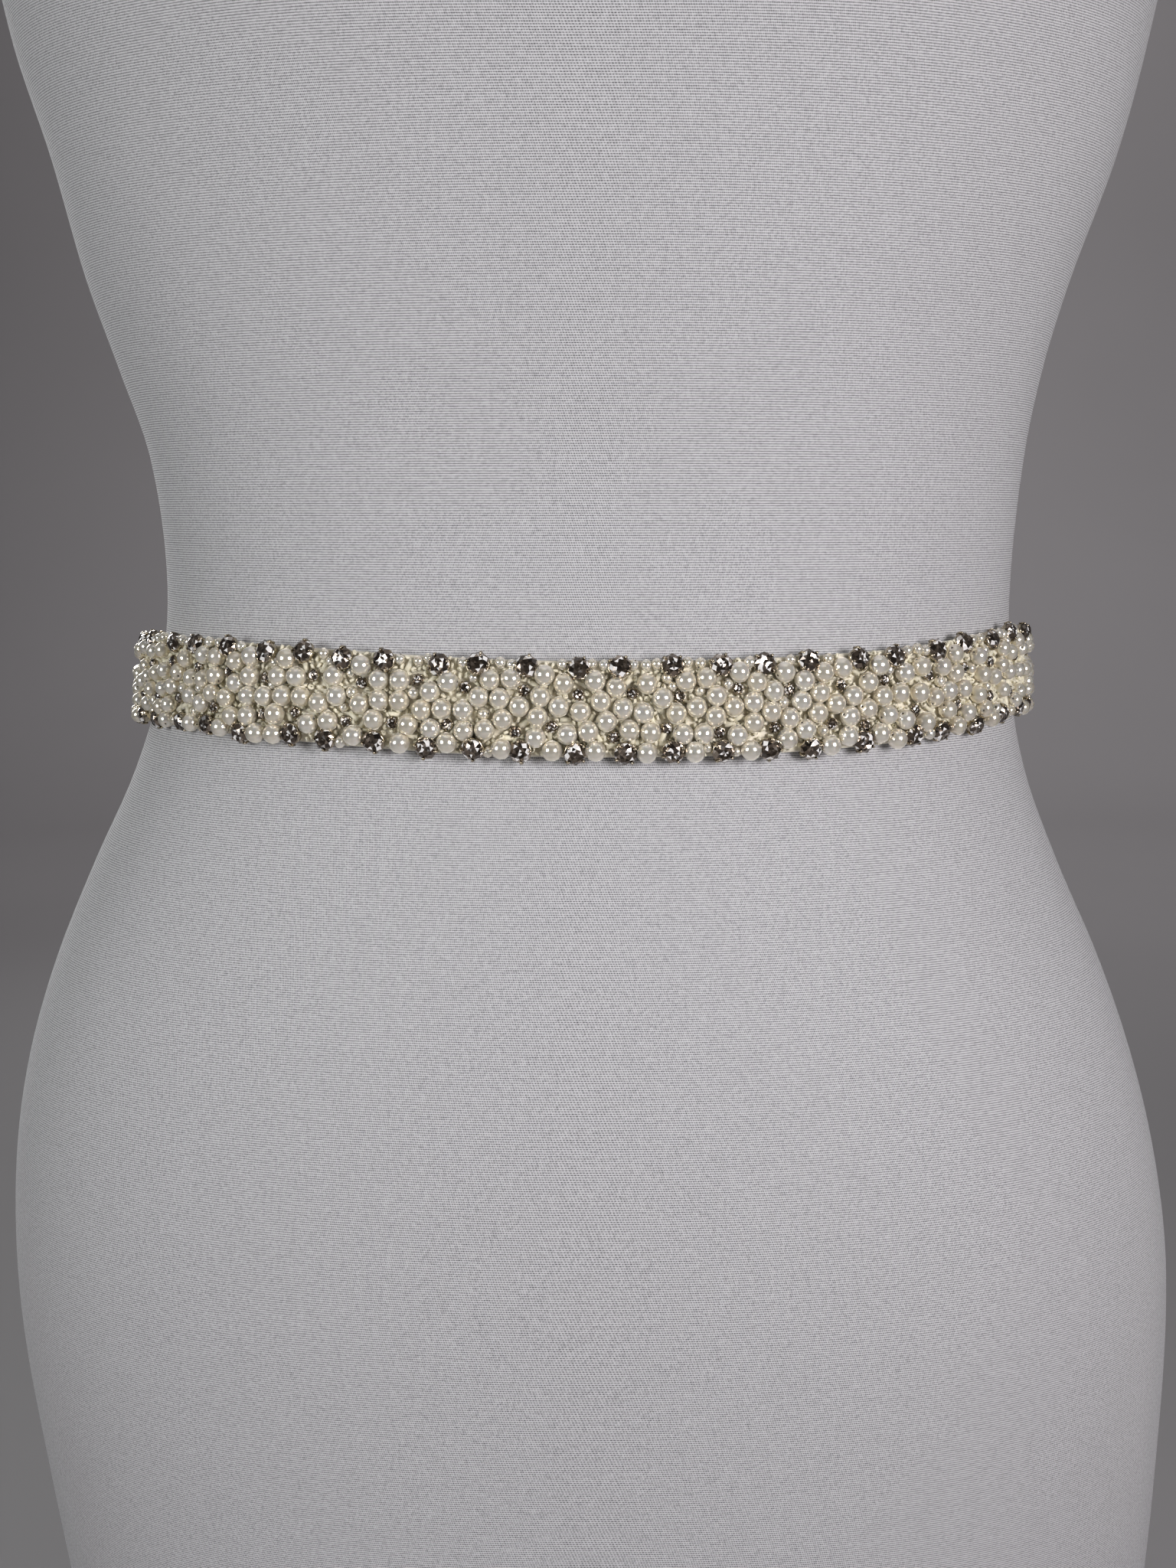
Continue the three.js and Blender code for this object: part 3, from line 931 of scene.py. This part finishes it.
def turned(tree, rotation, **angles):
    """A rotation turned further, about its own axes."""
    turn = add_node(tree, "ShaderNodeCombineXYZ", angles)
    by = add_node(tree, "FunctionNodeEulerToRotation", {"Euler": turn.outputs[0]})
    inputs = {"Rotation": rotation, "Rotate By": by.outputs[0]}
    node = add_node(tree, "FunctionNodeRotateRotation", inputs, rotation_space="LOCAL")
    return node.outputs[0]


def sewn_beads_tree():
    """One shape on every point, turned outwards, leaning and spun at random."""
    tree, given, result = new_tree(
        "Sewn beads",
        points="Geometry",
        shape="Object",
        finish="Material",
        least_lean="Float",
        most_lean="Float",
        seed="Int",
    )
    outward = {"Vector": stored(tree, "outward", "FLOAT_VECTOR")}
    facing = add_node(tree, "FunctionNodeAlignRotationToVector", outward, axis="Z")
    lean = random_value(tree, given["least_lean"], given["most_lean"], given["seed"])
    spin = random_value(tree, 0.0, TURN, calculate(tree, "ADD", given["seed"], 1.0))
    leaning = turned(tree, facing.outputs[0], X=lean, Z=spin)
    size = stored(tree, "size", "FLOAT")
    return sew_on(tree, given, result, given["points"], leaning, Scale=size)


def stitch_row_tree():
    """Stitches at an even pitch on lines, lying on the cloth along the line or turned from it."""
    tree, given, result = new_tree(
        "Stitch row",
        lines="Geometry",
        shape="Object",
        finish="Material",
        pitch="Float",
        turn="Float",
        wander="Float",
        seed="Int",
    )
    curve = add_node(tree, "GeometryNodeMeshToCurve", {"Mesh": given["lines"]})
    inputs = {"Curve": curve.outputs[0], "Length": given["pitch"]}
    spaced = add_node(tree, "GeometryNodeResampleCurve", inputs, mode="LENGTH")
    tangent = add_node(tree, "GeometryNodeInputTangent").outputs[0]
    ahead = add_node(tree, "FunctionNodeAlignRotationToVector", {"Vector": tangent}, axis="X")
    inputs = {"Rotation": ahead.outputs[0], "Vector": stored(tree, "outward", "FLOAT_VECTOR")}
    lying = add_node(
        tree, "FunctionNodeAlignRotationToVector", inputs, axis="Z", pivot_axis="X"
    )
    back = calculate(tree, "MULTIPLY", given["wander"], -1.0)
    wander = random_value(tree, back, given["wander"], given["seed"])
    rotation = turned(tree, lying.outputs[0], Z=calculate(tree, "ADD", given["turn"], wander))
    return sew_on(tree, given, result, spaced.outputs[0], rotation)


def made_by(tree, piece, shape, **inputs):
    """Runs a tree on a piece, which keeps the result as its own plain mesh."""
    modifier = piece.modifiers.new(tree.name, "NODES")
    modifier.node_group = tree
    values = {"shape": shape, **inputs}
    for socket in tree.interface.items_tree:
        if socket.in_out == "INPUT" and socket.name in values:
            modifier[socket.identifier] = values[socket.name]
    evaluated = piece.evaluated_get(bpy.context.evaluated_depsgraph_get())
    mesh = bpy.data.meshes.new_from_object(evaluated)
    if not mesh.polygons:
        raise RuntimeError(f"{piece.name}: the tree {tree.name} made nothing")
    piece.modifiers.remove(modifier)
    bare, piece.data = piece.data, mesh
    mesh.name = piece.name
    bpy.data.meshes.remove(bare)
    for name in ("size", "outward"):
        if name in mesh.attributes:
            mesh.attributes.remove(mesh.attributes[name])
    bpy.data.objects.remove(shape)
    return piece


def bead_points(name, beads, heights, splay=0.0):
    """Points that carry beads: the place of each bead, its size and its way out. Splay turns those
    near the strip's edges away from its middle."""
    points, ways = [], []
    for bead, height in zip(beads, heights):
        out = PATH.outward(bead.along)
        way = (out + PATH.place(bead.along)[1] * splay * bead.up / STRIP_WIDTH).normalized()
        foot = PATH.point(bead.along, bead.up, STRIP_THICKNESS + height)
        points.append(foot + (out - way) * bead.radius)
        ways.append(way)
    piece = new_piece(name, points, [])
    add_values(piece.data, "size", "FLOAT", "POINT", [b.radius for b in beads])
    add_values(piece.data, "outward", "FLOAT_VECTOR", "POINT", ways)
    return piece


# Cloth


def cloth_shell(name, first, last, width, thickness, finish, stand_off=None, ripple=0):
    """Thin closed shell of one strip of cloth, with soft edges and end faces."""
    stations = max(2, round((last - first) / CLOTH_STEP))
    half, soft = width / 2, thickness / 2
    across = [-half + soft + k * (width - thickness) / CLOTH_ROWS for k in range(CLOTH_ROWS + 1)]
    bend = [k * math.pi / 4 for k in (1, 2, 3)]
    section = [(up, thickness) for up in across]
    section += [(half - soft + soft * math.sin(b), soft + soft * math.cos(b)) for b in bend]
    section += [(up, 0) for up in reversed(across)]
    section += [(soft - half - soft * math.sin(b), soft - soft * math.cos(b)) for b in bend]
    points, places = [], []
    for k in range(stations + 1):
        along = first + k * (last - first) / stations
        off = stand_off(along) if stand_off else 0
        for up, out in section:
            wave = math.prod(math.sin(along / w.along + up / w.up) for w in RIPPLE_WAVES)
            points.append(PATH.point(along, up, off + out + ripple * (1 + wave)))
            places.append((along, up))
    count = len(section)
    faces = bands(count, stations + 1)
    faces += [tuple(range(count)), tuple(range(len(points) - count, len(points)))]
    piece = face_outwards(new_piece(name, points, faces, finish))
    add_uv(piece.data, [places[loop.vertex_index] for loop in piece.data.loops])
    return piece


def lap_stand_off(along):
    """How far the left ribbon stands out to pass over the right one's end."""
    lap_end = PATH.back + LAP_LENGTH / 2
    t = min(max((lap_end + LAP_RAMP - along) / (LAP_RAMP - SEAM_GAP), 0), 1)
    return (RIBBON_THICKNESS + SEAM_GAP) * t * t * (3 - 2 * t)


# Operators, one for each piece or group of like pieces


class SASH_OT_dress_form(bpy.types.Operator):
    """Make the dress form with its jersey cover"""

    bl_idname = "sash.dress_form"
    bl_label = "Dress form"

    def execute(self, context):
        rings = form_rings()
        count = FORM_POINTS
        points = [p for ring in reversed(rings) for p in ring]
        faces = bands(count, len(rings))
        heights = [0.0]
        for above, below in zip(rings[::-1], rings[-2::-1]):
            drop = sum((Vector(a) - Vector(b)).length for a, b in zip(above, below)) / count
            heights.append(heights[-1] - drop)
        waist = PATH.length / count
        places = [
            (column * waist, heights[row])
            for k in range(len(rings) - 1)
            for j in range(count)
            for row, column in ((k, j), (k + 1, j), (k + 1, j + 1), (k, j + 1))
        ]
        for level, inner, row in ((FORM_SECTIONS[-1].level, True, 0), (0, False, len(rings) - 1)):
            centre = len(points)
            points.append((0, 0, level))
            for j in range(count):
                rim = [row * count + j, row * count + (j + 1) % count]
                faces.append((*rim, centre) if inner else (*reversed(rim), centre))
                for corner in faces[-1]:
                    x, y, _ = points[corner]
                    places.append((x, y))
        form = new_piece("jersey_form", points, faces, jersey(context.scene.sash_form))
        add_uv(form.data, places)
        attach(form, BODY)
        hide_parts("dress_form")
        return {"FINISHED"}


class SASH_OT_pearls(bpy.types.Operator):
    """Sew on the pearls, the small pearls, the seed beads and the glass tubes"""

    bl_idname = "sash.pearls"
    bl_label = "Pearls and seed beads"

    def execute(self, context):
        settings = context.scene.sash_beads
        coat, glass = nacre(settings), bead_glass(settings)
        tree = sewn_beads_tree()
        largest = {
            "tube": settings.glass_tube / MM,
            "small_pearl": settings.small_pearl / MM,
            "seed": settings.seed_bead / MM,
        }
        fill = []
        for filling in FILLINGS:
            fill += gap_beads(filling, largest[filling.kind], BEADS + fill)
        shapes = {
            "pearl": pearl_shape("pearl", meridians=12, belts=6, hole=0.11),
            "small_pearl": pearl_shape("small_pearl", meridians=8, belts=4, hole=0.2),
            "seed": seed_shape("seed"),
            "tube": tube_shape("tube"),
        }
        random = RandomNumbers(LIFT_SEED)
        for name, kind, seat, *leans in SEWINGS:
            beads = [b for b in BEADS + fill if b.kind == kind]
            if kind == "pearl":
                lifts = [random.between(0, PEARL_LIFT) for _ in beads]
            elif kind == "tube":
                lifts = [0] * len(beads)
            else:
                lifts = [graded(FILLING_LIFT, b.along) for b in beads]
            heights = [seat * b.radius + lift for b, lift in zip(beads, lifts)]
            least, most = (lean * TURN / 4 for lean in leans)
            piece = made_by(
                tree,
                bead_points(name, beads, heights),
                shapes[kind],
                finish=glass if kind in ("seed", "tube") else coat,
                least_lean=least,
                most_lean=most,
                seed=LAYOUT_SEED,
            )
            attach(piece, BODY)
        return {"FINISHED"}


class SASH_OT_stones(bpy.types.Operator):
    """Sew on the cut stones in their metal settings"""

    bl_idname = "sash.stones"
    bl_label = "Stones and settings"

    def execute(self, context):
        settings = context.scene.sash_beads
        tree = sewn_beads_tree()
        stones = [b for b in BEADS if b.kind != "pearl"]
        lifts = {"stone": Graded(0, 0), "small_stone": SMALL_STONE_LIFT}
        heights = [graded(lifts[b.kind], b.along) for b in stones]
        stone, cup = stone_shape("stone"), setting_shape("setting")
        groups = (
            ("stones", stone, cut_stone(settings), "stone", SMALL_STONE_SIZE),
            ("stone_settings", cup, pale_gold(settings), "setting", SMALL_SETTING_SIZE),
        )
        for name, shape, finish, slot, small in groups:
            sizes = {"stone": STONE_SIZE, "small_stone": small}
            sewn = [Bead(b.kind, b.along, b.up, b.radius * sizes[b.kind]) for b in stones]
            piece = made_by(
                tree,
                bead_points(name, sewn, heights, STONE_SPLAY),
                shape,
                finish=finish,
                least_lean=0.0,
                most_lean=STONE_LEAN,
                seed=STONE_SEED,
            )
            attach(piece, BODY)
        return {"FINISHED"}


class SASH_OT_strip(bpy.types.Operator):
    """Make the satin strip that carries the beading"""

    bl_idname = "sash.strip"
    bl_label = "Satin strip"

    def execute(self, context):
        half = STRIP_LENGTH / 2
        finish = satin("strip_satin", context.scene.sash_cloth.satin, STRIP_THREAD)
        strip = cloth_shell("satin_strip", -half, half, STRIP_WIDTH, STRIP_THICKNESS, finish)
        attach(strip, BODY)
        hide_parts("beaded_front")
        return {"FINISHED"}


class SASH_OT_ribbons(bpy.types.Operator):
    """Make the two satin ribbons that close the sash at the back"""

    bl_idname = "sash.ribbons"
    bl_label = "Ribbons"

    def execute(self, context):
        finish = satin("ribbon_satin", context.scene.sash_cloth.satin, RIBBON_THREAD)
        half, lap = STRIP_LENGTH / 2, LAP_LENGTH / 2
        thickness = RIBBON_SHARE * RIBBON_THICKNESS
        runs = (
            ("ribbon_right", half + SEAM_GAP, PATH.back + lap, None),
            ("ribbon_left", PATH.back - lap, PATH.length - half - SEAM_GAP, lap_stand_off),
        )
        for node, first, last, stand_off in runs:
            ribbon = cloth_shell(
                "satin_" + node, first, last, RIBBON_WIDTH, thickness, finish, stand_off, RIPPLE
            )
            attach(ribbon, BODY)
            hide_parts(node)
        return {"FINISHED"}


class SASH_OT_stitches(bpy.types.Operator):
    """Sew the ribbons to the strip and the lap at the back"""

    bl_idname = "sash.stitches"
    bl_label = "Stitches"

    def execute(self, context):
        settings = context.scene.sash_cloth
        tree = stitch_row_tree()
        finish = sewing_thread(settings.thread)
        seam = STRIP_LENGTH / 2 + SEAM_GAP / 2
        lap = PATH.back - LAP_LENGTH / 2 + LAP_STITCH_INSET
        reach = RIBBON_WIDTH / 2 - STITCH_MARGIN
        joins = [(s, RIBBON_THICKNESS + SEAM_STITCH_LIFT) for s in (seam, PATH.length - seam)]
        rows = (
            ("seam_stitches", joins, TURN / 4),
            ("lap_stitches", ((lap, 2 * RIBBON_THICKNESS + SEAM_GAP),), 0.0),
        )
        for name, lines, turn in rows:
            points, edges, ways = [], [], []
            for along, out in lines:
                points += [PATH.point(along, up, out) for up in (-reach, reach)]
                ways += [PATH.outward(along)] * 2
                edges.append((len(points) - 2, len(points) - 1))
            piece = new_piece(name, points, [])
            piece.data.edges.add(len(edges))
            piece.data.edges.foreach_set("vertices", [end for edge in edges for end in edge])
            add_values(piece.data, "outward", "FLOAT_VECTOR", "POINT", ways)
            made_by(
                tree,
                piece,
                stitch_shape("stitch", settings.stitch_length / MM),
                finish=finish,
                pitch=settings.stitch_pitch,
                turn=turn,
                wander=STITCH_WANDER,
                seed=STITCH_SEED,
            )
            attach(piece, BODY)
        return {"FINISHED"}


class SASH_OT_stage(bpy.types.Operator):
    """Set up the floor, the backdrop, the lights and the camera"""

    bl_idname = "sash.stage"
    bl_label = "Stage"

    def execute(self, context):
        settings = context.scene.sash_stage
        self.add_floor(settings)
        self.add_lights(context, settings)
        self.add_camera(context, settings)
        return {"FINISHED"}

    def add_floor(self, settings):
        """Floor that rises into a backdrop on a wide curve."""
        curve = [k * math.pi / 2 / BEND_STEPS for k in range(BEND_STEPS + 1)]
        profile = [(-FLOOR_REACH, 0)]
        profile += [
            (FLOOR_BEND + BEND_RADIUS * math.sin(a), BEND_RADIUS * (1 - math.cos(a))) for a in curve
        ]
        profile.append((FLOOR_BEND + BEND_RADIUS, BACKDROP_TOP))
        points = [(x, y, z) for y, z in profile for x in (-FLOOR_REACH, FLOOR_REACH)]
        faces = [(2 * k, 2 * k + 1, 2 * k + 3, 2 * k + 2) for k in range(len(profile) - 1)]
        new_piece("floor", points, faces, backdrop_paper(settings))

    def add_lights(self, context, settings):
        """Softboxes beside the camera, soft lights above, behind and on the backdrop, a dim room."""
        for light in LIGHTS:
            data = bpy.data.lights.new(light.name, "AREA")
            data.energy = settings.softbox_power * light.share
            data.size = light.size
            data.spread = math.radians(light.spread)
            data.color = light.tint
            lamp = bpy.data.objects.new(light.name, data)
            lamp.location = light.place
            lamp.rotation_mode = "QUATERNION"
            lamp.rotation_quaternion = (Vector(light.aim) - lamp.location).to_track_quat("-Z", "Y")
            lamp.visible_camera = False
            context.collection.objects.link(lamp)
        world = bpy.data.worlds.new("room")
        world.use_nodes = True
        tree = world.node_tree
        way = add_node(tree, "ShaderNodeTexCoord").outputs["Generated"]
        depth = add_node(tree, "ShaderNodeSeparateXYZ", {"Vector": way}).outputs["Y"]
        share = calculate(tree, "MULTIPLY_ADD", depth, 0.5, 0.5)
        sky = colour_steps(tree, share, ((0, ROOM_FRONT), (0.5, ROOM_SIDE)))
        tree.links.new(sky, tree.nodes["Background"].inputs["Color"])
        context.scene.world = world

    def add_camera(self, context, settings):
        data = bpy.data.cameras.new("camera")
        data.lens = CAMERA_LENS
        data.clip_start = 0.01
        camera = bpy.data.objects.new("camera", data)
        camera.location = (0, -settings.camera_distance, settings.camera_height)
        camera.rotation_euler = (math.pi / 2 - settings.camera_tilt, 0, 0)
        context.collection.objects.link(camera)
        context.scene.camera = camera
        context.scene.view_settings.view_transform = "Standard"


class SASH_PT_panel(bpy.types.Panel):
    """Sash tools"""

    bl_idname = "SASH_PT_panel"
    bl_label = "Bridal sash"
    bl_space_type = "VIEW_3D"
    bl_region_type = "UI"
    bl_category = "Sash"

    def draw(self, context):
        for operator in OPERATORS:
            self.layout.operator(operator.bl_idname)
        for owner, group in SETTINGS.items():
            for name in group.__annotations__:
                self.layout.prop(getattr(context.scene, owner), name)


SETTINGS = {
    "sash_form": FormSettings,
    "sash_cloth": SashSettings,
    "sash_beads": BeadSettings,
    "sash_stage": StageSettings,
}
OPERATORS = (
    SASH_OT_dress_form,
    SASH_OT_pearls,
    SASH_OT_stones,
    SASH_OT_strip,
    SASH_OT_ribbons,
    SASH_OT_stitches,
    SASH_OT_stage,
)


def register():
    for item in (*SETTINGS.values(), *OPERATORS, SASH_PT_panel):
        bpy.utils.register_class(item)
    for owner, group in SETTINGS.items():
        setattr(bpy.types.Scene, owner, bpy.props.PointerProperty(type=group))


def unregister():
    for owner in SETTINGS:
        delattr(bpy.types.Scene, owner)
    for item in (SASH_PT_panel, *reversed(OPERATORS), *reversed(SETTINGS.values())):
        bpy.utils.unregister_class(item)


def main():
    register()
    bpy.ops.sash.dress_form()
    bpy.ops.sash.pearls()
    bpy.ops.sash.stones()
    bpy.ops.sash.strip()
    bpy.ops.sash.ribbons()
    bpy.ops.sash.stitches()
    bpy.ops.sash.stage()


if __name__ == "__main__":
    main()
